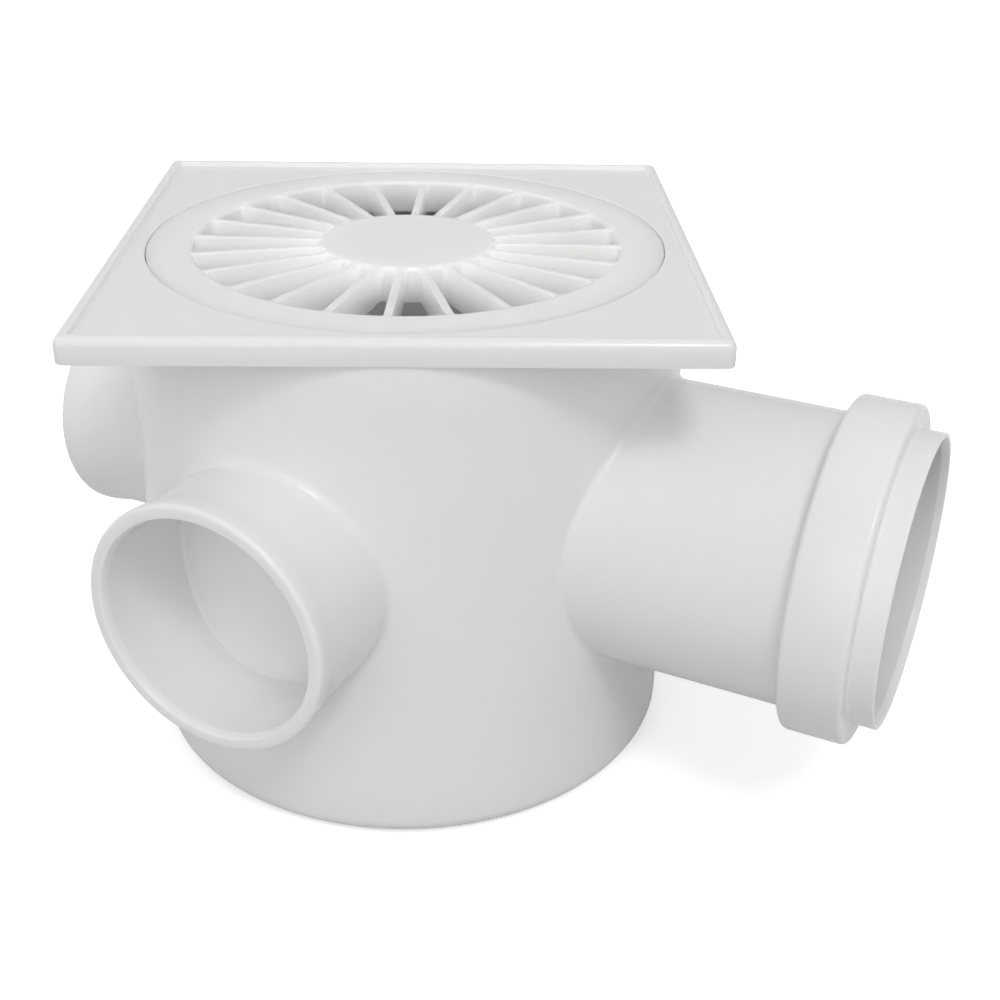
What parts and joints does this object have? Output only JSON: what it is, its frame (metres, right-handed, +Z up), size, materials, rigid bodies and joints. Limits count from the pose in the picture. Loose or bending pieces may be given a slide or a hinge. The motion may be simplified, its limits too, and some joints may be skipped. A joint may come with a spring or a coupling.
{
  "type": "floor gully trap",
  "caption": "White plastic floor gully: round chamber under a square plate with a round grate, closed side inlets, ring-seal outlet socket and a lift-out water-seal hood.",
  "frame": {"origin": "centre of the flat base, on the chamber's axis", "axes": "+Z up along the chamber's axis, +X along the outlet out of its mouth, +Y and -Y and -X along the three inlets"},
  "size_m": [0.1722, 0.1422, 0.1],
  "materials": {
    "white_pvc": "satin white moulded PVC",
    "inner_pvc": "satin off-white moulded PVC",
    "black_rubber": "matt black rubber"
  },
  "bodies": {
    "root": {"body": "white_pvc", "outlet_seal_ring": "black_rubber", "trap_insert": "inner_pvc", "insert_seal": "black_rubber", "cleaning_plug": "inner_pvc", "plug_seal": "black_rubber", "top_frame": "white_pvc", "grate": "white_pvc"}
  },
  "joints": []
}
